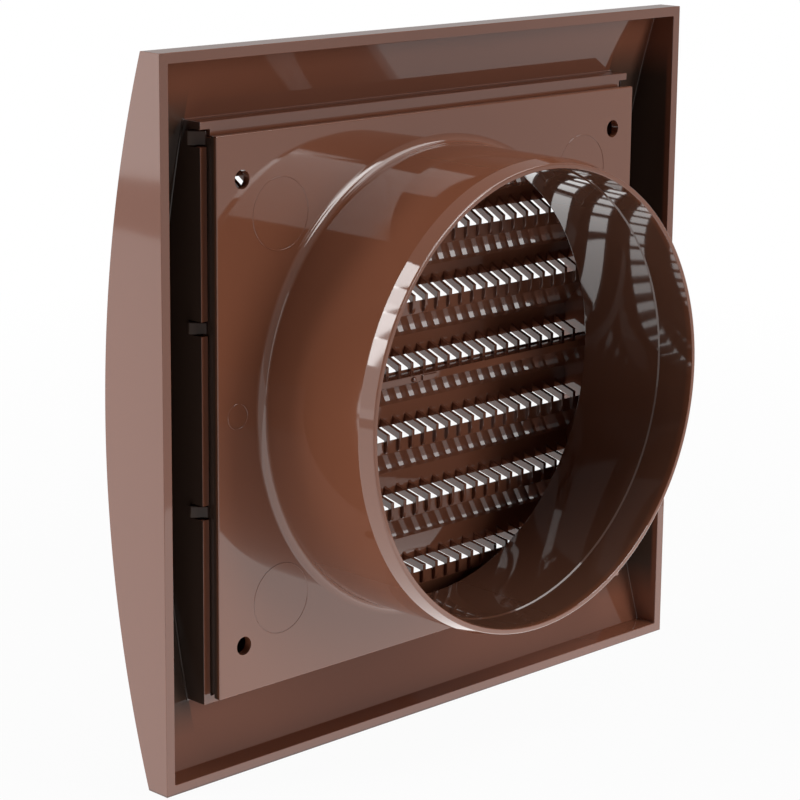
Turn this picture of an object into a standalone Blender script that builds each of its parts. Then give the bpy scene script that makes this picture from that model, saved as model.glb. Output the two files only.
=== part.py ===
"""Wall vent for a 125 mm exhaust duct: a bowed louvred cover clipped over a base plate with a collar.

Metres, +Z up. The origin is on the collar's axis at the back face of the base plate.
The louvres look towards -Y and the duct collar points towards +Y.
"""
import math

import bmesh
import bpy

for old in list(bpy.data.objects):
    bpy.data.objects.remove(old, do_unlink=True)

MM = 0.001
GAP = 0.3 * MM                     # between pieces that touch in the real vent

# Duct collar
COLLAR_R = 62.25 * MM              # outside of the 125 mm collar
COLLAR_LENGTH = 38.2 * MM
COLLAR_WALL = 2.45 * MM            # at the base plate
BORE_TAPER = 0.5 * MM
BORE_STEP = 0.3 * MM               # the bore opens a little near its end
STEP_FROM_END = 11.3 * MM
END_WALL = 1.4 * MM
DRAFT = 0.3 * MM                   # the outside narrows by this towards the chamfer
CHAMFER_LENGTH = 4.1 * MM
ROOT_FILLET = 2.3 * MM
BORE_FLARE = 3.2 * MM
FLARE_LENGTH = 2.0 * MM
ROUND_STEPS = 72
BORE_FRONT_R = COLLAR_R - COLLAR_WALL
BORE_MID_R = BORE_FRONT_R - BORE_TAPER
BORE_END_R = BORE_MID_R + BORE_STEP
COLLAR_END_R = BORE_END_R + END_WALL
OPENING_R = COLLAR_R + ROOT_FILLET + GAP

# Base plate, a tray whose skirt nests inside the cover's inner frame
PLATE_EDGE_X = 12.1 * MM           # from the opening to the plate's side
PLATE_EDGE_TOP = 6.1 * MM
PLATE_EDGE_BOTTOM = 6.75 * MM
PLATE_T = 2.2 * MM
SKIRT_DEPTH = 5.6 * MM             # measured from the back face
SKIRT_IN = 0.65 * MM               # the plate's edge overhangs its skirt by this
SKIRT_T = 2.0 * MM
SCREW_IN_X = 8.25 * MM             # screw holes, from the plate's edges
SCREW_IN_TOP = 11.2 * MM
SCREW_IN_BOTTOM = 12.6 * MM
SCREW_D = 4.8 * MM
PLATE_X = OPENING_R + PLATE_EDGE_X
PLATE_TOP = OPENING_R + PLATE_EDGE_TOP
PLATE_BOTTOM = -(OPENING_R + PLATE_EDGE_BOTTOM)

# Inner frame that carries the louvres and takes the base plate
FRAME_SIDE_T = 2.15 * MM
FRAME_TOP_T = 3.6 * MM
FRAME_BOTTOM_T = 2.05 * MM
FRAME_BACK_Y = -3.85 * MM
SEAT_Y = -(SKIRT_DEPTH + GAP)      # the base plate's skirt stops here
FRAME_IN_X = PLATE_X - SKIRT_IN + GAP
FRAME_IN_TOP = PLATE_TOP - SKIRT_IN + GAP
FRAME_IN_BOTTOM = PLATE_BOTTOM + SKIRT_IN - GAP
LEDGE = 3.6 * MM                   # the side walls are this much thicker in front of the skirt
NOTCH_DEPTH = 4.6 * MM
NOTCH_SPREAD = 46.6 * MM           # between the two lower notches
TOP_NOTCH_IN = 0.45 * MM           # centre of the top notch, below the frame's inner top
TOP_NOTCH_H = 4.2 * MM
NOTCH_H = 3.6 * MM
NOTCHES = (                        # centre and height
    (FRAME_IN_TOP - TOP_NOTCH_IN, TOP_NOTCH_H),
    (NOTCH_SPREAD / 2, NOTCH_H),
    (-NOTCH_SPREAD / 2, NOTCH_H),
)

# Cover: walls, the space round the inner frame, and the bow of its front
WALL = 2.7 * MM
FRONT_T = 1.3 * MM
SIDE_SPACE = 13.85 * MM            # from the inner frame to the side walls
TOP_SPACE = 15.3 * MM              # from the inner frame to the top wall
RIM_Y = 1.1 * MM                   # back rim, a little proud of the base plate
EDGE_DEPTH = 6.0 * MM              # front of the top and bottom walls
BOW_SAG = 15.1 * MM
BOW_STEPS = 24
COVER_W = 2 * (FRAME_IN_X + FRAME_SIDE_T + SIDE_SPACE + WALL)
COVER_H = 2 * (FRAME_IN_TOP + FRAME_TOP_T + TOP_SPACE + WALL)
BOW_Y = -(EDGE_DEPTH + BOW_SAG)
BOW_R = (COVER_H * COVER_H / 4 + BOW_SAG * BOW_SAG) / (2 * BOW_SAG)

# Louvres and the comb bars that keep insects out
PITCH = 18.5 * MM
TOP_LIP_DROP = 15.85 * MM          # top lip, below the frame's inner top
LAST_BLADE_DROP = 12.05 * MM       # end of the bottom blade, below its lip
LIP_DEPTH = 7.55 * MM              # from the bow to a lip
LIP_T = 1.9 * MM
LIP_FACE = 3.6 * MM                # upright face under the lip
SLOPE_DROP = 7.2 * MM              # height of the slanted middle of a blade
FOOT_H = 1.2 * MM                  # least height of the outer wall under the slanted middle
SLOT_H = 2.25 * MM                 # of a slot at mid height; those above are taller, those below lower
SLOT_LEAN = 0.0146                 # change of slot height with height
BAR_T = 1.1 * MM
BAR_PITCH = 4.69 * MM
BAR_EDGE = 3.83 * MM               # first bar, from the blade's end
BAR_H = 2.1 * MM
BAR_LIFT = 0.16 * MM               # underside of a bar, above the lip
BAR_RISE = 0.40                    # slope of the bars towards the front, at mid height
BAR_LEAN = 4.3                     # the slope grows by this per metre of height
BAR_ROOT = 0.6 * MM                # overlap of a bar with the lip
FIN_OUT = 1.1 * MM
FIN_DOWN = 3.4 * MM
LOUVRED_H = FRAME_IN_TOP - FRAME_IN_BOTTOM - TOP_LIP_DROP - LAST_BLADE_DROP
BLADES = 1 + int((LOUVRED_H - 1.5 * MM) / PITCH)
WINDOW_W = 2 * (FRAME_IN_X - LEDGE)
BLADE_W = WINDOW_W - 2 * GAP
BAR_COUNT = 1 + int((BLADE_W - BAR_EDGE - BAR_T - GAP) / BAR_PITCH)
LIPS = [FRAME_IN_TOP - TOP_LIP_DROP - PITCH * i for i in range(BLADES)]
WINDOW_TOP = LIPS[0] + SLOT_H + SLOT_LEAN * LIPS[0]
WINDOW_BOTTOM = LIPS[-1] - LAST_BLADE_DROP

# Stiffening shelf across the middle of the grille
RIB_DROP = 0.45 * MM               # top of the shelf, below the middle lip
RIB_T = 2.1 * MM
RIB_BEHIND = 5.4 * MM              # back edge of the shelf, behind the middle lip
NUB_X = 0.65 * MM
NUB_W = 1.6 * MM
PAD_X = -5.2 * MM
PAD_W = 5.6 * MM
MID_LIP = LIPS[BLADES // 2]
RIB_TOP = MID_LIP - RIB_DROP

CATCH_OUT = 1.2 * MM               # nose beyond the frame's outer face


def bow(z):
    """Y of the cover's outer surface at a height."""
    return BOW_Y + BOW_R - math.sqrt(BOW_R * BOW_R - z * z)


def slot_height(lip_z):
    return SLOT_H + SLOT_LEAN * lip_z


def material(name, colour, rough):
    made = bpy.data.materials.new(name)
    made.use_nodes = True
    shader = made.node_tree.nodes["Principled BSDF"]
    shader.inputs["Base Color"].default_value = (*colour, 1.0)
    shader.inputs["Roughness"].default_value = rough
    return made


def solid(name, mesh_build, colour=(0.115, 0.043, 0.025), rough=0.22):
    """A linked object whose mesh is filled by mesh_build and given its own material."""
    mesh = bpy.data.meshes.new(name)
    bm = bmesh.new()
    mesh_build(bm)
    bmesh.ops.recalc_face_normals(bm, faces=bm.faces[:])
    bm.to_mesh(mesh)
    bm.free()
    made = bpy.data.objects.new(name, mesh)
    bpy.context.collection.objects.link(made)
    mesh.materials.append(material(name + "_brown", colour, rough))
    return made


def prism(bm, outline, x0, x1):
    """A (y, z) outline carried along X."""
    near = [bm.verts.new((x0, y, z)) for y, z in outline]
    far = [bm.verts.new((x1, y, z)) for y, z in outline]
    bm.faces.new(near)
    bm.faces.new(far[::-1])
    for i in range(len(outline)):
        j = (i + 1) % len(outline)
        bm.faces.new((near[i], far[i], far[j], near[j]))


def box(bm, x0, x1, y0, y1, z0, z1):
    prism(bm, [(y0, z0), (y1, z0), (y1, z1), (y0, z1)], x0, x1)


def cutter(name, mesh_build):
    made = solid(name, mesh_build)
    made.hide_render = True
    made.display_type = "WIRE"
    return made


def boolean(target, tool, operation):
    step = target.modifiers.new(operation.title() + "_" + tool.name, "BOOLEAN")
    step.operation = operation
    step.solver = "EXACT"
    step.object = tool


def arc(z0, z1, offset, steps):
    """Points on the bow, moved by offset along Y, from z0 to z1."""
    heights = [z0 + (z1 - z0) * i / steps for i in range(steps + 1)]
    return [(bow(z) + offset, z) for z in heights]


# Cover shell: bowed front, four side walls, open back and louvre window
def shell_outside(bm):
    half = COVER_H / 2
    prism(bm, arc(-half, half, 0, BOW_STEPS) + [(RIM_Y, half), (RIM_Y, -half)], -COVER_W / 2, COVER_W / 2)


def shell_inside(bm):
    half = COVER_H / 2 - WALL
    back = RIM_Y + 6 * MM
    outline = arc(-half, half, FRONT_T, BOW_STEPS) + [(back, half), (back, -half)]
    prism(bm, outline, -COVER_W / 2 + WALL, COVER_W / 2 - WALL)


cover_shell = solid("cover_shell", shell_outside)
boolean(cover_shell, cutter("shell_hollow", shell_inside), "DIFFERENCE")
boolean(
    cover_shell,
    cutter(
        "shell_window",
        lambda bm: box(
            bm, -WINDOW_W / 2, WINDOW_W / 2, BOW_Y - 4 * MM, -EDGE_DEPTH, WINDOW_BOTTOM, WINDOW_TOP
        ),
    ),
    "DIFFERENCE",
)


# Inner frame behind the shell's front, with the notches the base plate's catches click into
def frame_outside(bm):
    top = FRAME_IN_TOP + FRAME_TOP_T
    bottom = FRAME_IN_BOTTOM - FRAME_BOTTOM_T
    side = FRAME_IN_X + FRAME_SIDE_T
    front = arc(bottom, top, FRONT_T + GAP, BOW_STEPS)
    prism(bm, front + [(FRAME_BACK_Y, top), (FRAME_BACK_Y, bottom)], -side, side)


def frame_inside(bm):
    box(bm, -WINDOW_W / 2, WINDOW_W / 2, BOW_Y - 4 * MM, 4 * MM, FRAME_IN_BOTTOM, FRAME_IN_TOP)


def frame_seat(bm):
    box(bm, -FRAME_IN_X, FRAME_IN_X, SEAT_Y, 4 * MM, FRAME_IN_BOTTOM, FRAME_IN_TOP)


def frame_notches(bm):
    for side in (-1, 1):
        for centre, height in NOTCHES:
            inner = FRAME_IN_X - 1 * MM
            outer = FRAME_IN_X + FRAME_SIDE_T + 1 * MM
            low, high = sorted((side * inner, side * outer))
            front = FRAME_BACK_Y - NOTCH_DEPTH
            box(bm, low, high, front, FRAME_BACK_Y + 1 * MM, centre - height / 2, centre + height / 2)


grille_frame = solid("grille_frame", frame_outside)
boolean(grille_frame, cutter("frame_hollow", frame_inside), "DIFFERENCE")
boolean(grille_frame, cutter("frame_skirt_seat", frame_seat), "DIFFERENCE")
boolean(grille_frame, cutter("frame_notch", frame_notches), "DIFFERENCE")


# Louvre blades, each with the comb bars that bridge the slot above it
def blade_outline(lip_z, end_z):
    """An upright lip, a slanted middle and an upright outer wall in the bow of the front."""
    lip_y = bow(lip_z) + LIP_DEPTH
    knee_z = lip_z - LIP_FACE
    foot_z = max(knee_z - SLOPE_DROP, end_z + FOOT_H)
    rise = 0.8 * MM                # the slanted middle's outer face lies higher by this
    return [
        (lip_y, lip_z),
        (lip_y, knee_z),
        (bow(foot_z) + FRONT_T, foot_z),
        (bow(end_z) + FRONT_T, end_z),
        (bow(end_z), end_z),
        (bow(foot_z + rise), foot_z + rise),
        (lip_y - LIP_T, knee_z + rise),
        (lip_y - LIP_T, lip_z - 0.6 * MM),
    ]


def bar_outline(lip_z):
    """A bar rising from the lip to the wall in front of it."""
    lip_y = bow(lip_z) + LIP_DEPTH
    fin_y = lip_y + FIN_OUT
    slot_z = lip_z + slot_height(lip_z)
    far_y = max(bow(slot_z), bow(slot_z + BAR_H)) + FRONT_T + GAP
    low_z = lip_z + BAR_LIFT
    top_z = low_z + BAR_H
    rise = BAR_RISE + BAR_LEAN * lip_z
    return [
        (lip_y, lip_z - FIN_DOWN),
        (lip_y + 0.75 * FIN_OUT, lip_z - 0.75 * FIN_DOWN),
        (fin_y, lip_z - 0.5 * FIN_DOWN),
        (fin_y, top_z - rise * FIN_OUT),
        (far_y, top_z + rise * (lip_y - far_y)),
        (far_y, low_z + rise * (lip_y - far_y)),
        (lip_y - BAR_ROOT, low_z + rise * BAR_ROOT),
        (lip_y - BAR_ROOT, lip_z - 0.8 * FIN_DOWN),
    ]


def comb(bm, lip_z):
    outline = bar_outline(lip_z)
    for i in range(BAR_COUNT):
        x = BAR_EDGE - BLADE_W / 2 + BAR_PITCH * i
        prism(bm, outline, x - BAR_T / 2, x + BAR_T / 2)


for number, lip in enumerate(LIPS, 1):
    end = max(lip - PITCH + slot_height(lip - PITCH), WINDOW_BOTTOM + GAP)
    blade = solid(
        "louvre_%d" % number,
        lambda bm, lip=lip, end=end: prism(bm, blade_outline(lip, end), -BLADE_W / 2, BLADE_W / 2),
    )
    teeth = cutter("comb_%d" % number, lambda bm, lip=lip: comb(bm, lip))
    boolean(blade, teeth, "UNION")


# Middle shelf between the frame's side walls, with a nub and a pad on its back edge
def rib(bm):
    lip_y = bow(MID_LIP) + LIP_DEPTH
    front = lip_y + FIN_OUT + GAP
    box(bm, -BLADE_W / 2, BLADE_W / 2, front, lip_y + RIB_BEHIND, RIB_TOP - RIB_T, RIB_TOP)


def rib_marks(bm):
    back = bow(MID_LIP) + LIP_DEPTH + RIB_BEHIND
    low = RIB_TOP - RIB_T
    for x, width, high in ((NUB_X, NUB_W, 0.6), (PAD_X, PAD_W, 0.5)):
        x0 = x - width / 2
        z0 = low + 0.3 * MM
        box(bm, x0, x0 + width, back - 0.8 * MM, back + high * MM, z0, low + RIB_T - 0.3 * MM)


mid_rib = solid("mid_rib", rib)
boolean(mid_rib, cutter("rib_nub", rib_marks), "UNION")


# Base plate with its skirt, the opening for the duct and four screw holes
def plate_sheet(bm):
    box(bm, -PLATE_X, PLATE_X, -PLATE_T, 0, PLATE_BOTTOM, PLATE_TOP)


def plate_skirt(bm):
    x = PLATE_X - SKIRT_IN
    box(bm, -x, x, -SKIRT_DEPTH, -PLATE_T / 2, PLATE_BOTTOM + SKIRT_IN, PLATE_TOP - SKIRT_IN)


def plate_inside(bm):
    inset = SKIRT_IN + SKIRT_T
    x = PLATE_X - inset
    box(bm, -x, x, -SKIRT_DEPTH - 4 * MM, -PLATE_T, PLATE_BOTTOM + inset, PLATE_TOP - inset)


def rod(bm, x, z, radius, y0, y1, steps):
    near = []
    far = []
    for i in range(steps):
        a = 2 * math.pi * i / steps
        px = x + radius * math.cos(a)
        pz = z + radius * math.sin(a)
        near.append(bm.verts.new((px, y0, pz)))
        far.append(bm.verts.new((px, y1, pz)))
    bm.faces.new(near)
    bm.faces.new(far[::-1])
    for i in range(steps):
        j = (i + 1) % steps
        bm.faces.new((near[i], far[i], far[j], near[j]))


def screw_holes(bm):
    for side in (-1, 1):
        x = side * (PLATE_X - SCREW_IN_X)
        for z in (PLATE_BOTTOM + SCREW_IN_BOTTOM, PLATE_TOP - SCREW_IN_TOP):
            rod(bm, x, z, SCREW_D / 2, -PLATE_T - 3 * MM, 3 * MM, 20)


base_plate = solid("base_plate", plate_sheet)
boolean(base_plate, cutter("plate_skirt", plate_skirt), "UNION")
boolean(base_plate, cutter("plate_hollow", plate_inside), "DIFFERENCE")
boolean(
    base_plate,
    cutter(
        "plate_opening",
        lambda bm: rod(
            bm, 0, 0, OPENING_R, -PLATE_T - 3 * MM, 3 * MM, ROUND_STEPS
        ),
    ),
    "DIFFERENCE",
)
boolean(base_plate, cutter("plate_screw_hole", screw_holes), "DIFFERENCE")


# Duct collar turned from its section, with the root fillet and the lead-in chamfer
def collar(bm):
    root = COLLAR_R + ROOT_FILLET
    section = [(BORE_FRONT_R + BORE_FLARE, -PLATE_T), (root, -PLATE_T)]
    for i in range(5):
        a = math.pi / 2 * i / 4
        section.append((root - ROOT_FILLET * math.sin(a), ROOT_FILLET * (1 - math.cos(a))))
    section += [
        (COLLAR_R - DRAFT, COLLAR_LENGTH - CHAMFER_LENGTH),
        (COLLAR_END_R, COLLAR_LENGTH),
        (BORE_END_R, COLLAR_LENGTH),
        (BORE_END_R, COLLAR_LENGTH - STEP_FROM_END + 0.5 * MM),
        (BORE_MID_R, COLLAR_LENGTH - STEP_FROM_END),
        (BORE_FRONT_R, -PLATE_T + FLARE_LENGTH),
    ]
    rings = []
    for i in range(ROUND_STEPS):
        a = 2 * math.pi * i / ROUND_STEPS
        rings.append([bm.verts.new((r * math.cos(a), y, r * math.sin(a))) for r, y in section])
    for i in range(ROUND_STEPS):
        this = rings[i]
        after = rings[(i + 1) % ROUND_STEPS]
        for k in range(len(section)):
            m = (k + 1) % len(section)
            bm.faces.new((this[k], after[k], after[m], this[m]))


duct_collar = solid("duct_collar", collar)
duct_collar.data.shade_smooth()
duct_collar.data.set_sharp_from_angle(angle=math.radians(28))


# Catches on the skirt that stand out through the frame's notches
def catch(bm, side, centre, height):
    root_x = PLATE_X - SKIRT_IN + GAP
    nose_x = FRAME_IN_X + FRAME_SIDE_T + CATCH_OUT
    front = FRAME_BACK_Y - NOTCH_DEPTH + GAP
    half = height / 2 - GAP
    outline = [
        (root_x, front),
        (nose_x, front),
        (nose_x, front + 0.9 * MM),
        (root_x + 0.5 * MM, FRAME_BACK_Y - GAP),
        (root_x, FRAME_BACK_Y - GAP),
    ]
    low = [bm.verts.new((side * x, y, centre - half)) for x, y in outline]
    high = [bm.verts.new((side * x, y, centre + half)) for x, y in outline]
    bm.faces.new(low)
    bm.faces.new(high[::-1])
    for i in range(len(outline)):
        j = (i + 1) % len(outline)
        bm.faces.new((low[i], high[i], high[j], low[j]))


for side, letter in ((1, "l"), (-1, "r")):
    for number, (centre, height) in enumerate(NOTCHES, 1):
        solid(
            "catch_%s%d" % (letter, number),
            lambda bm, side=side, centre=centre, height=height: catch(bm, side, centre, height),
            colour=(0.02, 0.014, 0.012),
        )
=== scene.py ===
"""Looks for the louvred exhaust vent: detailed mouldings, glossy brown plastic, studio and camera."""
import math

import bpy
from mathutils import Matrix, Vector


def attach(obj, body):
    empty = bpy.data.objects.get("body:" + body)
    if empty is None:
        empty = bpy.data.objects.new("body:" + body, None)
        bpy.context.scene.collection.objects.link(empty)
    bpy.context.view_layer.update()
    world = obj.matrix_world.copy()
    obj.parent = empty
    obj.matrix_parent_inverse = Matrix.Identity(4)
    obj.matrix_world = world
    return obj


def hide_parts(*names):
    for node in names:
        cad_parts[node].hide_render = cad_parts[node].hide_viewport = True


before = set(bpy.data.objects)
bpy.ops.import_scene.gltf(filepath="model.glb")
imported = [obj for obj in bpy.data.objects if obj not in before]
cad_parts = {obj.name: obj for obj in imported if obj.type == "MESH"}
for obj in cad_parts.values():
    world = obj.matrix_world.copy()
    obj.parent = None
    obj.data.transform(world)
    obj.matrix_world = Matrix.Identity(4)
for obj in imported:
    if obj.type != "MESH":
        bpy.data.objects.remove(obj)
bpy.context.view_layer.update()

MM = 0.001

# Sizes, as in the part's source, but with the pieces drawn up to each other
COLLAR_R = 62.25 * MM
COLLAR_LENGTH = 38.2 * MM
ROOT = 2.3 * MM
OPENING_R = COLLAR_R + ROOT
PLATE_X = 76.95 * MM
PLATE_TOP = 70.95 * MM
PLATE_BOTTOM = -71.6 * MM
SKIRT_IN = 0.65 * MM
PLATE_T = 2.2 * MM
SKIRT_DEPTH = 5.6 * MM
SKIRT_T = 2.0 * MM
SCREW_X = 68.7 * MM
SCREW_ZS = (59.75 * MM, -59.0 * MM)
SCREW_R = 2.4 * MM
FRAME_X = 76.6 * MM
FRAME_SIDE = 2.15 * MM
FRAME_IN_TOP = 70.6 * MM
FRAME_IN_BOTTOM = -71.25 * MM
FRAME_TOP = 74.2 * MM
FRAME_BOTTOM = -73.3 * MM
FRAME_BACK = -3.85 * MM
SEAT_Y = -5.9 * MM
WINDOW_X = 73.0 * MM
NOTCHES = ((70.15 * MM, 4.2 * MM), (23.3 * MM, 3.6 * MM), (-23.3 * MM, 3.6 * MM))  # centre and height
NOTCH_DEPTH = 4.6 * MM
COVER_X = 95.3 * MM
COVER_Z = 92.2 * MM
WALL = 2.7 * MM
FRONT_T = 1.3 * MM
RIM_Y = 1.1 * MM
BOW_Y = -21.1 * MM
BOW_SAG = 15.1 * MM
BOW_R = (COVER_Z * COVER_Z + BOW_SAG**2) / (2 * BOW_SAG)
PITCH = 18.5 * MM
TOP_LIP = 54.75 * MM
LIPS = [TOP_LIP - PITCH * i for i in range(7)]
LIP_DEPTH = 7.55 * MM              # from the bow to a lip
LIP_T = 1.9 * MM
LIP_FALL = 0.6 * MM                # the lip's top falls by this towards the front
LIP_FACE = 3.6 * MM                # upright face under the lip
SLOPE_DROP = 7.2 * MM              # height of a blade's slanted middle
FOOT_H = 1.2 * MM                  # least height of the outer wall under it
WINDOW_BOTTOM = -68.3 * MM
WINDOW_TOP = 57.8 * MM
SLOT_H = 2.25 * MM                 # of a slot at mid height
SLOT_LEAN = 0.0146                 # change of slot height with height
BAR_T = 1.1 * MM
BAR_PITCH = 4.69 * MM
BAR_COUNT = 30
FIRST_BAR_X = -68.87 * MM
BAR_H = 2.1 * MM
BAR_LIFT = 0.16 * MM               # underside of a bar, above the lip
BAR_RISE = 0.4                     # slope of the bars towards the front, at mid height
BAR_LEAN = 4.3                     # the slope grows by this per metre of height
FIN_OUT = 1.1 * MM                 # the bars' feet stand out from the lip by this
FIN_DOWN = 3.4 * MM
FIN_ROUND = 1.9 * MM               # height of the feet's rounding
SHELF_T = 2.1 * MM
SHELF_OUT = 5.4 * MM               # from a lip's face to the shelf's back edge


def bow(z):
    """Y of the cover's outer surface at a height."""
    return BOW_Y + BOW_R - math.sqrt(BOW_R * BOW_R - z * z)


def slot_height(lip):
    """Height of the slot above a lip."""
    return SLOT_H + SLOT_LEAN * lip


# Modelling helpers: each works on one object in edit mode, as by hand

def deselect():
    if bpy.context.object and bpy.context.object.mode == "EDIT":
        bpy.ops.object.mode_set(mode="OBJECT")
    bpy.ops.object.select_all(action="DESELECT")


def pick(obj):
    deselect()
    obj.select_set(True)
    bpy.context.view_layer.objects.active = obj


def chain(name, points, fill=True):
    """A section drawn point by point: a plane is merged to one vertex, which is extruded along the points."""
    deselect()
    bpy.ops.mesh.primitive_plane_add(size=MM)
    obj = bpy.context.object
    obj.name = name
    bpy.ops.object.mode_set(mode="EDIT")
    bpy.ops.mesh.select_all(action="SELECT")
    bpy.ops.mesh.merge(type="CENTER")
    bpy.ops.transform.translate(value=points[0])
    for before, after in zip(points, points[1:]):
        step = tuple(b - a for a, b in zip(before, after))
        bpy.ops.mesh.extrude_vertices_move(TRANSFORM_OT_translate={"value": step})
    bpy.ops.mesh.select_all(action="SELECT")
    bpy.ops.mesh.edge_face_add()
    if not fill:
        bpy.ops.mesh.delete(type="ONLY_FACE")
    return obj


def outward():
    bpy.ops.mesh.select_all(action="SELECT")
    bpy.ops.mesh.normals_make_consistent(inside=False)
    bpy.ops.object.mode_set(mode="OBJECT")


def bar(name, section, x0, x1):
    """A (y, z) section carried along X."""
    obj = chain(name, [(x0, y, z) for y, z in section])
    bpy.ops.mesh.select_all(action="SELECT")
    bpy.ops.mesh.extrude_region_move(TRANSFORM_OT_translate={"value": (x1 - x0, 0, 0)})
    outward()
    return obj


def block(name, low, high):
    """A cube sized and moved to two corners, with its place in its mesh."""
    deselect()
    bpy.ops.mesh.primitive_cube_add(size=1)
    obj = bpy.context.object
    obj.name = name
    bpy.ops.object.mode_set(mode="EDIT")
    bpy.ops.transform.resize(value=[h - l for l, h in zip(low, high)])
    bpy.ops.transform.translate(value=[(h + l) / 2 for l, h in zip(low, high)])
    bpy.ops.object.mode_set(mode="OBJECT")
    return obj


def turned(name, section, steps):
    """A closed (radius, y) section spun round the Y axis."""
    obj = chain(name, [(r, y, 0) for r, y in section], fill=False)
    bpy.ops.mesh.select_all(action="SELECT")
    bpy.ops.mesh.spin(steps=steps, angle=2 * math.pi, center=(0, 0, 0), axis=(0, 1, 0))
    bpy.ops.mesh.select_all(action="SELECT")
    bpy.ops.mesh.remove_doubles(threshold=0.00001)
    outward()
    return obj


def laid(tool, x, z):
    """Turns a tool's axis from Z to Y in its mesh, and moves it to x and z."""
    bpy.ops.object.mode_set(mode="EDIT")
    bpy.ops.transform.rotate(value=math.pi / 2, orient_axis="X", center_override=(0, 0, 0))
    bpy.ops.transform.translate(value=(x, 0, z))
    bpy.ops.object.mode_set(mode="OBJECT")
    return tool


def cut(obj, tool, operation="DIFFERENCE"):
    """Applies a boolean with a tool, which is then removed."""
    pick(obj)
    step = obj.modifiers.new("cut", "BOOLEAN")
    step.operation = operation
    step.solver = "EXACT"
    step.object = tool
    bpy.ops.object.modifier_apply(modifier="cut")
    bpy.data.objects.remove(tool, do_unlink=True)


def round_edges(obj, width, segments, angle=35):
    """Rounds the edges that are sharper than the angle."""
    pick(obj)
    bevel = obj.modifiers.new("ease", "BEVEL")
    bevel.width = width
    bevel.segments = segments
    bevel.limit_method = "ANGLE"
    bevel.angle_limit = math.radians(angle)
    bevel.miter_outer = "MITER_ARC"
    bpy.ops.object.modifier_apply(modifier="ease")


def ease(obj, width, segments, angle=35):
    """Rounds the sharp edges, and shades the piece smooth between its flat faces."""
    round_edges(obj, width, segments, angle)
    smooth(obj)


def smooth(obj, angle=40):
    """Shades smooth across edges under the angle, with normals that follow the large faces."""
    pick(obj)
    bpy.ops.object.shade_smooth_by_angle(angle=math.radians(angle))
    weighted = obj.modifiers.new("weighted", "WEIGHTED_NORMAL")
    weighted.keep_sharp = True
    bpy.ops.object.modifier_apply(modifier="weighted")


def join(name, parts):
    deselect()
    for part in parts:
        part.select_set(True)
    bpy.context.view_layer.objects.active = parts[0]
    bpy.ops.object.join()
    obj = bpy.context.object
    obj.name = name
    return obj


def copies(obj, steps):
    """Copies of a piece, each with its own mesh, moved by the steps."""
    made = []
    for step in steps:
        twin = obj.copy()
        twin.data = obj.data.copy()
        twin.data.transform(Matrix.Translation(step))
        bpy.context.scene.collection.objects.link(twin)
        made.append(twin)
    return made


def arc(z0, z1, offset, steps):
    """(y, z) points along the bow, moved back by the offset."""
    heights = [z0 + (z1 - z0) * i / steps for i in range(steps + 1)]
    return [(bow(z) + offset, z) for z in heights]


# Glossy plastic: small changes of tone from the moulding flow, painted shade in the cover's side channels and
# the collar's inside, and a faint waviness in the gloss

# Painted shade: the colour painted into the side channels, the sides facing them and the collar's inside, and
# how much of it the collar's inside gets
PAINTED_SHADE_TONE = (0.05, 0.03, 0.022, 1)
BORE_PAINTED_SHADE = 0.6


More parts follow.
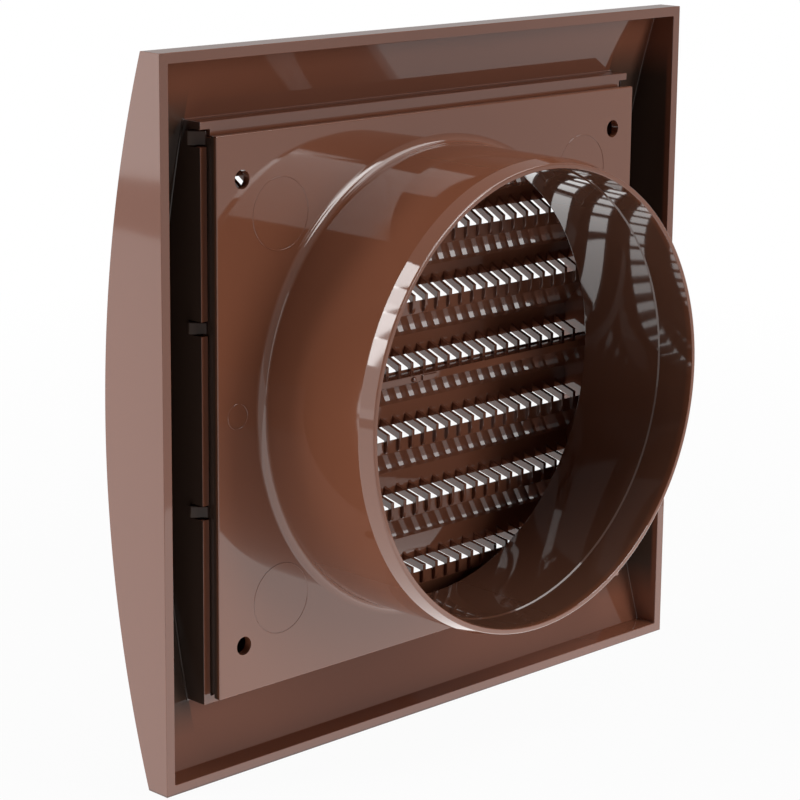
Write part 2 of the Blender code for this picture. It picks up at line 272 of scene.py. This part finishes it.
def flow_and_painted_shade_group():
    group = bpy.data.node_groups.new("moulded_surface_painted_shade", "ShaderNodeTree")
    for label, way, kind in (
        ("Tone", "INPUT", "NodeSocketColor"),
        ("Warm Tone", "INPUT", "NodeSocketColor"),
        ("Gloss", "INPUT", "NodeSocketFloat"),
        ("Wave", "INPUT", "NodeSocketFloat"),
        ("Colour", "OUTPUT", "NodeSocketColor"),
        ("Roughness", "OUTPUT", "NodeSocketFloat"),
        ("Normal", "OUTPUT", "NodeSocketVector"),
    ):
        group.interface.new_socket(label, in_out=way, socket_type=kind)
    nodes, links = group.nodes, group.links
    inside = nodes.new("NodeGroupInput")
    outside = nodes.new("NodeGroupOutput")
    place = nodes.new("ShaderNodeTexCoord")

    def noise(scale, detail, rough=0.5):
        node = nodes.new("ShaderNodeTexNoise")
        node.inputs["Scale"].default_value = scale
        node.inputs["Detail"].default_value = detail
        node.inputs["Roughness"].default_value = rough
        links.new(place.outputs["Object"], node.inputs["Vector"])
        return node

    def ramp(value, low, high):
        """0 at the low value and 1 at the high one, which may be the smaller."""
        node = nodes.new("ShaderNodeMapRange")
        node.inputs["From Min"].default_value = low
        node.inputs["From Max"].default_value = high
        links.new(value, node.inputs["Value"])
        return node.outputs["Result"]

    def combine(operation, *values):
        result = values[0]
        for value in values[1:]:
            node = nodes.new("ShaderNodeMath")
            node.operation = operation
            links.new(result, node.inputs[0])
            links.new(value, node.inputs[1])
            result = node.outputs[0]
        return result

    def size(value):
        node = nodes.new("ShaderNodeMath")
        node.operation = "ABSOLUTE"
        links.new(value, node.inputs[0])
        return node.outputs[0]

    def split(vector):
        node = nodes.new("ShaderNodeSeparateXYZ")
        links.new(vector, node.inputs[0])
        return node.outputs

    flow = noise(14, 3)
    mix = nodes.new("ShaderNodeMix")
    mix.data_type = "RGBA"
    links.new(flow.outputs["Fac"], mix.inputs["Factor"])
    links.new(inside.outputs["Tone"], mix.inputs["A"])
    links.new(inside.outputs["Warm Tone"], mix.inputs["B"])

    # Painted shade: the colour is darkened towards the painted shade tone in the cover's side channels, on
    # the sides that face them and in the collar's inside, where hardly any light reaches
    x, y, z = split(place.outputs["Object"])
    facing_x, facing_y = split(place.outputs["Normal"])[:2]
    in_walls = ramp(size(x), 93.1 * MM, 92.8 * MM)
    in_height = ramp(size(z), 82 * MM, 72 * MM)
    channel = combine(
        "MULTIPLY",
        ramp(size(x), 78.2 * MM, 78.6 * MM),
        in_walls,
        in_height,
        ramp(y, -4 * MM, -6.5 * MM),
        ramp(facing_y, -0.8, -0.5),
    )
    flank = combine(
        "MULTIPLY",
        ramp(size(x), 75.5 * MM, 76 * MM),
        in_walls,
        in_height,
        ramp(y, -0.3 * MM, -1.2 * MM),
        ramp(size(facing_x), 0.5, 0.8),
    )
    flat = nodes.new("ShaderNodeCombineXYZ")
    links.new(x, flat.inputs[0])
    links.new(z, flat.inputs[2])
    radius = nodes.new("ShaderNodeVectorMath")
    radius.operation = "LENGTH"
    links.new(flat.outputs[0], radius.inputs[0])
    bore = combine(
        "MULTIPLY",
        ramp(radius.outputs["Value"], 60.5 * MM, 60.1 * MM),
        ramp(y, 37.8 * MM, 36 * MM),
        ramp(y, -3 * MM, -0.5 * MM),
    )
    bore_share = nodes.new("ShaderNodeMath")
    bore_share.operation = "MULTIPLY"
    bore_share.inputs[1].default_value = BORE_PAINTED_SHADE
    links.new(bore, bore_share.inputs[0])
    shade = nodes.new("ShaderNodeMix")
    shade.data_type = "RGBA"
    shade.inputs["B"].default_value = PAINTED_SHADE_TONE
    links.new(combine("MAXIMUM", channel, flank, bore_share.outputs[0]), shade.inputs["Factor"])
    links.new(mix.outputs["Result"], shade.inputs["A"])
    links.new(shade.outputs["Result"], outside.inputs["Colour"])

    # The gloss is a little uneven, and the surface a little wavy
    smear = noise(60, 4, 0.6)
    change = nodes.new("ShaderNodeMath")
    change.operation = "MULTIPLY_ADD"
    change.inputs[1].default_value = 0.03
    links.new(smear.outputs["Fac"], change.inputs[0])
    links.new(inside.outputs["Gloss"], change.inputs[2])
    links.new(change.outputs[0], outside.inputs["Roughness"])

    swell = noise(45, 1)
    bump = nodes.new("ShaderNodeBump")
    bump.inputs["Distance"].default_value = 0.6 * MM
    links.new(inside.outputs["Wave"], bump.inputs["Strength"])
    links.new(swell.outputs["Fac"], bump.inputs["Height"])
    links.new(bump.outputs["Normal"], outside.inputs["Normal"])
    return group


SURFACE = flow_and_painted_shade_group()


def plastic(name, tone, warm, gloss=0.03, shine=0.5):
    """A brown between two tones, with the roughness gloss and the strength of reflection shine."""
    made = bpy.data.materials.new(name)
    made.use_nodes = True
    nodes, links = made.node_tree.nodes, made.node_tree.links
    shader = nodes["Principled BSDF"]
    surface = nodes.new("ShaderNodeGroup")
    surface.node_tree = SURFACE
    surface.inputs["Tone"].default_value = (*tone, 1)
    surface.inputs["Warm Tone"].default_value = (*warm, 1)
    surface.inputs["Gloss"].default_value = gloss
    surface.inputs["Wave"].default_value = 0.05
    links.new(surface.outputs["Colour"], shader.inputs["Base Color"])
    links.new(surface.outputs["Roughness"], shader.inputs["Roughness"])
    links.new(surface.outputs["Normal"], shader.inputs["Normal"])
    shader.inputs["IOR"].default_value = 1.53
    shader.inputs["Specular IOR Level"].default_value = shine
    return made


COVER_BROWN = plastic("cover_brown", (0.145, 0.054, 0.032), (0.16, 0.057, 0.032))
LOUVRE_BROWN = plastic("louvre_brown", (0.14, 0.053, 0.03), (0.155, 0.056, 0.031))
BASE_BROWN = plastic("base_brown", (0.16, 0.058, 0.032), (0.175, 0.061, 0.031))
# Painted shade: the catches get a much darker brown than the base and weak reflection, for the shade of the
# notches they sit in
CATCH_PAINTED_SHADE = plastic("catch_brown", (0.03, 0.014, 0.01), (0.033, 0.015, 0.01), gloss=0.2, shine=0.12)


def dress(obj, material, body, nodes):
    """Gives a finished piece its material, body and CAD nodes."""
    obj.data.materials.clear()
    obj.data.materials.append(material)
    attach(obj, body)
    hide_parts(*nodes)


# Cover shell
def make_shell():
    x, z = COVER_X, COVER_Z
    shell = bar("cover_bowed_shell", arc(-z, z, 0, 64) + [(RIM_Y, z), (RIM_Y, -z)], -x, x)
    x, z = x - WALL, z - WALL
    back = RIM_Y + 5 * MM
    cut(shell, bar("hollow", arc(-z, z, FRONT_T, 64) + [(back, z), (back, -z)], -x, x))
    window = block("window", (-WINDOW_X, BOW_Y - 4 * MM, WINDOW_BOTTOM), (WINDOW_X, -6 * MM, WINDOW_TOP))
    cut(shell, window)
    ease(shell, 0.22 * MM, 3)
    return shell


dress(make_shell(), COVER_BROWN, "cover", ["cover_shell"])


# Inner frame
def make_frame():
    low, high = FRAME_BOTTOM, FRAME_TOP
    x = FRAME_X + FRAME_SIDE
    section = arc(low, high, FRONT_T - 0.2 * MM, 32) + [(FRAME_BACK, high), (FRAME_BACK, low)]
    rails = bar("grille_frame_rails", section, -x, x)
    # A low foot runs round the frame where it stands on the front
    wide, proud = 0.35 * MM, 0.3 * MM
    low, high = low - wide, high + wide
    section = arc(low, high, FRONT_T - proud, 32) + arc(high, low, FRONT_T + proud, 32)
    cut(rails, bar("foot", section, -x - wide, x + wide), "UNION")
    low, high = FRAME_IN_BOTTOM, FRAME_IN_TOP
    cut(rails, block("hollow", (-WINDOW_X, BOW_Y - 5 * MM, low), (WINDOW_X, 5 * MM, high)))
    cut(rails, block("seat", (-FRAME_X, SEAT_Y, low), (FRAME_X, 5 * MM, high)))
    for side in (-1, 1):
        for centre, height in NOTCHES:
            low, high = sorted((side * (FRAME_X - MM), side * (x + MM)))
            tool = block(
                "notch",
                (low, FRAME_BACK - NOTCH_DEPTH, centre - height / 2),
                (high, FRAME_BACK + MM, centre + height / 2),
            )
            cut(rails, tool)
    ease(rails, 0.15 * MM, 2)
    return rails


dress(make_frame(), COVER_BROWN, "cover", ["grille_frame"])


# Louvres with their combs
def blade_section(lip, end):
    """An upright lip, a slanted middle and an upright outer wall in the bow of the front."""
    lip_y = bow(lip) + LIP_DEPTH
    knee = lip - LIP_FACE
    foot = max(knee - SLOPE_DROP, end + FOOT_H)
    lifted = 0.8 * MM  # the outer side of the slanted middle lies this much higher
    return [
        (lip_y, lip),
        (lip_y, knee),
        (bow(foot) + FRONT_T, foot),
        (bow(end) + FRONT_T, end),
        (bow(end), end),
        (bow(foot + lifted), foot + lifted),
        (lip_y - LIP_T, knee + lifted),
        (lip_y - LIP_T, lip - LIP_FALL),
    ]


def comb_section(lip):
    """A bar rising from the lip to the wall in front of it, and its rounded foot under the lip."""
    lip_y = bow(lip) + LIP_DEPTH
    foot = lip - FIN_DOWN
    slope = BAR_RISE + BAR_LEAN * lip
    low = lip + BAR_LIFT
    top = lip + slot_height(lip)
    sunk = 0.5 * MM  # the bar's front end goes into the wall by this
    far = max(bow(top), bow(top + BAR_H)) + FRONT_T - sunk - lip_y
    rounding = [
        (lip_y + FIN_OUT * math.sin(a), foot + FIN_ROUND * (1 - math.cos(a)))
        for a in (0, math.pi / 6, math.pi / 3, math.pi / 2)
    ]
    rise = low + BAR_H
    return rounding + [
        (lip_y + FIN_OUT, rise - slope * FIN_OUT),
        # The upper edge turns up a little where it meets the wall
        (lip_y + far + 1.3 * MM, rise - slope * (far + 1.3 * MM)),
        (lip_y + far + 0.6 * MM, rise - slope * (far + 0.2 * MM)),
        (lip_y + far, rise - slope * far + 0.5 * MM),
        (lip_y + far, low - slope * far),
        (lip_y - 0.15 * MM, low + slope * 0.15 * MM),
        (lip_y - 0.15 * MM, foot + 0.4 * MM),
    ]


def make_louvre(number, lip):
    after = lip - PITCH
    end = max(after + slot_height(after), WINDOW_BOTTOM)
    blade = bar("louvre_%d_blade" % number, blade_section(lip, end), -WINDOW_X, WINDOW_X)
    ease(blade, 0.12 * MM, 2, 20)
    tooth = bar("tooth", comb_section(lip), FIRST_BAR_X - BAR_T / 2, FIRST_BAR_X + BAR_T / 2)
    ease(tooth, 0.1 * MM, 1, 50)
    teeth = [tooth] + copies(tooth, [(BAR_PITCH * i, 0, 0) for i in range(1, BAR_COUNT)])
    return join("louvre_%d_blade" % number, [blade] + teeth)


for index, lip in enumerate(LIPS, 1):
    louvre = make_louvre(index, lip)
    dress(louvre, LOUVRE_BROWN, "cover", ["louvre_%d" % index])


# Shelf across the middle, with the mark left by the mould's gate and a raised pad
def make_rib():
    lip_y = bow(LIPS[3]) + LIP_DEPTH
    top = LIPS[3] - 0.45 * MM
    back = lip_y + SHELF_OUT
    rib = block("mid_shelf", (-WINDOW_X, lip_y + 0.2 * MM, top - SHELF_T), (WINDOW_X, back, top))
    pad = block("pad", (-8 * MM, back - MM, top - 1.8 * MM), (-2.4 * MM, back + 0.5 * MM, top - 0.3 * MM))
    cut(rib, pad, "UNION")
    ease(rib, 0.15 * MM, 2)
    deselect()
    bpy.ops.mesh.primitive_uv_sphere_add(segments=24, ring_count=16, radius=0.8 * MM)
    nub = bpy.context.object
    bpy.ops.object.mode_set(mode="EDIT")
    bpy.ops.transform.translate(value=(0.65 * MM, back, top - SHELF_T / 2))
    bpy.ops.object.mode_set(mode="OBJECT")
    smooth(nub, 60)
    return join("mid_shelf", [rib, nub])


dress(make_rib(), LOUVRE_BROWN, "cover", ["mid_rib"])


# Base plate. The rings are marks of the mould's ejector pins: x, z and radius in millimetres
EJECTOR_RINGS = (
    (56, 50, 9.2),
    (-56, 50, 9.2),
    (56, -49.2, 9.2),
    (-56, -49.2, 9.2),
    (70.4, 0.8, 3.2),
    (-70.4, 0.8, 3.2),
)


def rod(x, z, radius, sides):
    deselect()
    bpy.ops.mesh.primitive_cylinder_add(vertices=sides, radius=radius, depth=14 * MM)
    return laid(bpy.context.object, x, z)


def ring(x, z, radius):
    deselect()
    bpy.ops.mesh.primitive_torus_add(
        major_radius=radius, minor_radius=0.11 * MM, major_segments=72, minor_segments=6
    )
    return laid(bpy.context.object, x, z)


def make_plate():
    plate = block("base_plate_tray", (-PLATE_X, -PLATE_T, PLATE_BOTTOM), (PLATE_X, 0, PLATE_TOP))
    x, low, high = PLATE_X - SKIRT_IN, PLATE_BOTTOM + SKIRT_IN, PLATE_TOP - SKIRT_IN
    cut(plate, block("skirt", (-x, -SKIRT_DEPTH, low), (x, -MM, high)), "UNION")
    x, low, high = x - SKIRT_T, low + SKIRT_T, high - SKIRT_T
    cut(plate, block("hollow", (-x, -SKIRT_DEPTH - 4 * MM, low), (x, -PLATE_T, high)))
    round_edges(plate, 0.35 * MM, 3)
    cut(plate, rod(0, 0, OPENING_R, 160))
    for sx in (-1, 1):
        for z in SCREW_ZS:
            cut(plate, rod(sx * SCREW_X, z, SCREW_R, 40))
    for x, z, radius in EJECTOR_RINGS:
        cut(plate, ring(x * MM, z * MM, radius * MM), "UNION")
    smooth(plate, 30)
    return plate


dress(make_plate(), BASE_BROWN, "base", ["base_plate"])


# Duct collar: its section's radii, and the place and lean of the chamfer at its end
END_OUTER_R = 61.0 * MM
END_INNER_R = 59.6 * MM
STEP_R = 59.3 * MM
CHAMFER_Y = 33.9 * MM
CHAMFER_LEAN = 13


def curve(cx, cy, r, a0, a1, n):
    """(radius, y) points on an arc between two angles in degrees."""
    angles = [math.radians(a0 + (a1 - a0) * i / n) for i in range(n + 1)]
    return [(cx + r * math.cos(a), cy + r * math.sin(a)) for a in angles]


def make_collar():
    root = COLLAR_R + ROOT
    outer, inner = 0.5 * MM, 0.25 * MM  # roundings of the end
    # From the plate up the outside to the end
    section = [(63.0 * MM, -PLATE_T), (root, -PLATE_T)]
    section += curve(root, ROOT, ROOT, -90, -180, 8)
    section += [(COLLAR_R - 0.2 * MM, 20 * MM)]
    section += curve(COLLAR_R - 1.5 * MM, CHAMFER_Y, 1.2 * MM, 0, CHAMFER_LEAN, 3)
    section += curve(END_OUTER_R - outer, COLLAR_LENGTH - outer, outer, CHAMFER_LEAN, 90, 5)
    section += curve(END_INNER_R + inner, COLLAR_LENGTH - inner, inner, 90, 180, 3)
    # Down the bore, past its step, to the flare behind the plate
    section += [(END_INNER_R, 26.9 * MM), (STEP_R, 26.5 * MM), (59.5 * MM, 12 * MM)]
    section += curve(60.25 * MM, -0.2 * MM, 0.45 * MM, 180, 238, 5)
    collar = turned("duct_collar_tube", section, 180)
    smooth(collar, 25)
    return collar


dress(make_collar(), BASE_BROWN, "base", ["duct_collar"])


# Catches
def make_catch(side, centre, height):
    root_x = PLATE_X - SKIRT_IN
    nose_x = FRAME_X + FRAME_SIDE + 1.2 * MM
    front = FRAME_BACK - 4.3 * MM
    half = height / 2 - 0.3 * MM
    outline = [
        (root_x, front),
        (nose_x, front),
        (nose_x, front + 0.9 * MM),
        (root_x + 0.5 * MM, FRAME_BACK - 0.3 * MM),
        (root_x, FRAME_BACK - 0.3 * MM),
    ]
    catch = chain("catch", [(side * x, y, centre - half) for x, y in outline])
    bpy.ops.mesh.select_all(action="SELECT")
    bpy.ops.mesh.extrude_region_move(TRANSFORM_OT_translate={"value": (0, 0, 2 * half)})
    outward()
    ease(catch, 0.25 * MM, 3)
    return catch


for side, letter in ((1, "l"), (-1, "r")):
    for number, (centre, height) in enumerate(NOTCHES, 1):
        node = "catch_%s%d" % (letter, number)
        catch = make_catch(side, centre, height)
        catch.name = node + "_hook"
        dress(catch, CATCH_PAINTED_SHADE, "base", [node])


# Studio: pale floor, soft lamps given by their brightness, and a world that is white to the camera
FLOOR_Z = -COVER_Z - 0.3 * MM
FLOOR_WHITE = 0.96                 # share of plain white that the camera sees near the object
FLOOR_MIRROR = 0.95                # the same in the gloss
WALL_MIRROR = 0.45                 # grey of the studio's walls in the gloss


def seen_white(tree, lit, out):
    """Mixes plain white into a shader, and returns the kinds of ray and the socket of the white's share."""
    path = tree.nodes.new("ShaderNodeLightPath")
    white = tree.nodes.new("ShaderNodeEmission")
    white.inputs["Color"].default_value = (1, 1, 1, 1)
    mix = tree.nodes.new("ShaderNodeMixShader")
    tree.links.new(lit, mix.inputs[1])
    tree.links.new(white.outputs[0], mix.inputs[2])
    tree.links.new(mix.outputs[0], out)
    return path, mix.inputs["Fac"]


def make_floor():
    deselect()
    bpy.ops.mesh.primitive_plane_add(size=1)
    floor = bpy.context.object
    floor.name = "studio_floor"
    bpy.ops.object.mode_set(mode="EDIT")
    bpy.ops.mesh.select_all(action="SELECT")
    bpy.ops.transform.resize(value=(6, 6, 1))
    bpy.ops.transform.translate(value=(0, 0, FLOOR_Z))
    bpy.ops.object.mode_set(mode="OBJECT")
    paint = bpy.data.materials.new("floor_white")
    paint.use_nodes = True
    tree = paint.node_tree
    shader = tree.nodes["Principled BSDF"]
    shader.inputs["Base Color"].default_value = (0.35, 0.35, 0.35, 1)
    shader.inputs["Roughness"].default_value = 0.9
    path, share = seen_white(tree, shader.outputs[0], tree.nodes["Material Output"].inputs["Surface"])
    # Near the object the camera sees a little less than plain white, so that its shadow stays, but pale
    place = tree.nodes.new("ShaderNodeTexCoord")
    far = tree.nodes.new("ShaderNodeVectorMath")
    far.operation = "LENGTH"
    tree.links.new(place.outputs["Object"], far.inputs[0])
    fade = tree.nodes.new("ShaderNodeMapRange")
    for socket, value in (("From Min", 0.2), ("From Max", 0.6), ("To Min", FLOOR_WHITE), ("To Max", 1.0)):
        fade.inputs[socket].default_value = value
    tree.links.new(far.outputs["Value"], fade.inputs["Value"])
    part = tree.nodes.new("ShaderNodeMath")
    part.operation = "MULTIPLY"
    tree.links.new(path.outputs["Is Camera Ray"], part.inputs[0])
    tree.links.new(fade.outputs["Result"], part.inputs[1])
    # Mirrored in the gloss, the table looks as white as it does to the camera
    either = tree.nodes.new("ShaderNodeMath")
    either.operation = "MULTIPLY_ADD"
    either.inputs[1].default_value = FLOOR_MIRROR
    tree.links.new(path.outputs["Is Glossy Ray"], either.inputs[0])
    tree.links.new(part.outputs[0], either.inputs[2])
    tree.links.new(either.outputs[0], share)
    floor.data.materials.append(paint)


make_floor()


def lamp(name, place, aim, size, glow, diffuse=True):
    """A soft rectangle of light whose surface has the brightness glow, where 1 is white."""
    data = bpy.data.lights.new(name, "AREA")
    data.shape = "RECTANGLE"
    data.size, data.size_y = size
    data.energy = glow * math.pi * size[0] * size[1]
    obj = bpy.data.objects.new(name, data)
    obj.location = place
    obj.rotation_euler = (Vector(aim) - Vector(place)).to_track_quat("-Z", "Y").to_euler()
    obj.visible_camera = False
    obj.visible_diffuse = diffuse
    bpy.context.scene.collection.objects.link(obj)


# Each lamp with its place, aim, size in metres and brightness
CENTRE = (0, 0, 0)
lamp("side_panel", (0.86, -0.4, 0.15), CENTRE, (1.2, 1.2), 1.75)
lamp("front_soft", (-0.5, 1.25, 0.42), CENTRE, (0.4, 0.85), 9.5)
lamp("top_soft", (-0.4, 0.25, 1.15), CENTRE, (0.9, 0.9), 4.5)
# Window panes on the arc that the chamfer of the collar mirrors to the camera
for tilt in (22, 33, 44, 55):
    high = math.radians(tilt)
    pane = (0.82 * math.cos(high), -0.22, 0.82 * math.sin(high))
    lamp("window_%d" % tilt, pane, CENTRE, (0.11, 0.165), 11.0)
# Mirrored by the root of the collar, and by the collar's reflection in the plate
lamp("high_gloss", (-0.12, 0.82, 0.72), CENTRE, (0.66, 0.35), 9.0, diffuse=False)
lamp("back_wall", (0.2, -1.1, 0.85), CENTRE, (0.9, 0.6), 1.1)
lamp("table_glow", (0.2, -0.25, FLOOR_Z + 0.2 * MM), (0.2, -0.25, 1), (0.8, 0.9), 1.0)


def make_world():
    """White to the camera, grey in the gloss, and nearly no light of its own."""
    world = bpy.data.worlds.new("studio")
    bpy.context.scene.world = world
    world.use_nodes = True
    tree = world.node_tree
    tree.nodes.clear()
    fill = tree.nodes.new("ShaderNodeBackground")
    fill.inputs["Color"].default_value = (0.96, 0.98, 1, 1)
    fill.inputs["Strength"].default_value = 0.02
    world_out = tree.nodes.new("ShaderNodeOutputWorld")
    path, share = seen_white(tree, fill.outputs[0], world_out.inputs["Surface"])
    walls = tree.nodes.new("ShaderNodeMath")
    walls.operation = "MULTIPLY_ADD"
    walls.inputs[1].default_value = WALL_MIRROR
    tree.links.new(path.outputs["Is Glossy Ray"], walls.inputs[0])
    tree.links.new(path.outputs["Is Camera Ray"], walls.inputs[2])
    tree.links.new(walls.outputs[0], share)


make_world()


# Camera at the photograph's view, as fitted to points of the object
def make_camera():
    right = Vector((-0.70797, 0.70618, 0.00913))
    down = Vector((0.15078, 0.16377, -0.97491))
    ahead = Vector((-0.68995, -0.68883, -0.22243))
    data = bpy.data.cameras.new("photo_view")
    data.sensor_width = 36
    data.lens = 119.90
    data.shift_y = -0.04375
    data.clip_start, data.clip_end = 0.01, 50
    camera = bpy.data.objects.new("photo_view", data)
    turn = Matrix((right, -down, -ahead)).transposed().to_4x4()
    turn.translation = Vector((0.493767, 0.479004, 0.159866))
    camera.matrix_world = turn
    bpy.context.scene.collection.objects.link(camera)
    bpy.context.scene.camera = camera


make_camera()

view = bpy.context.scene.view_settings
view.view_transform = "Standard"
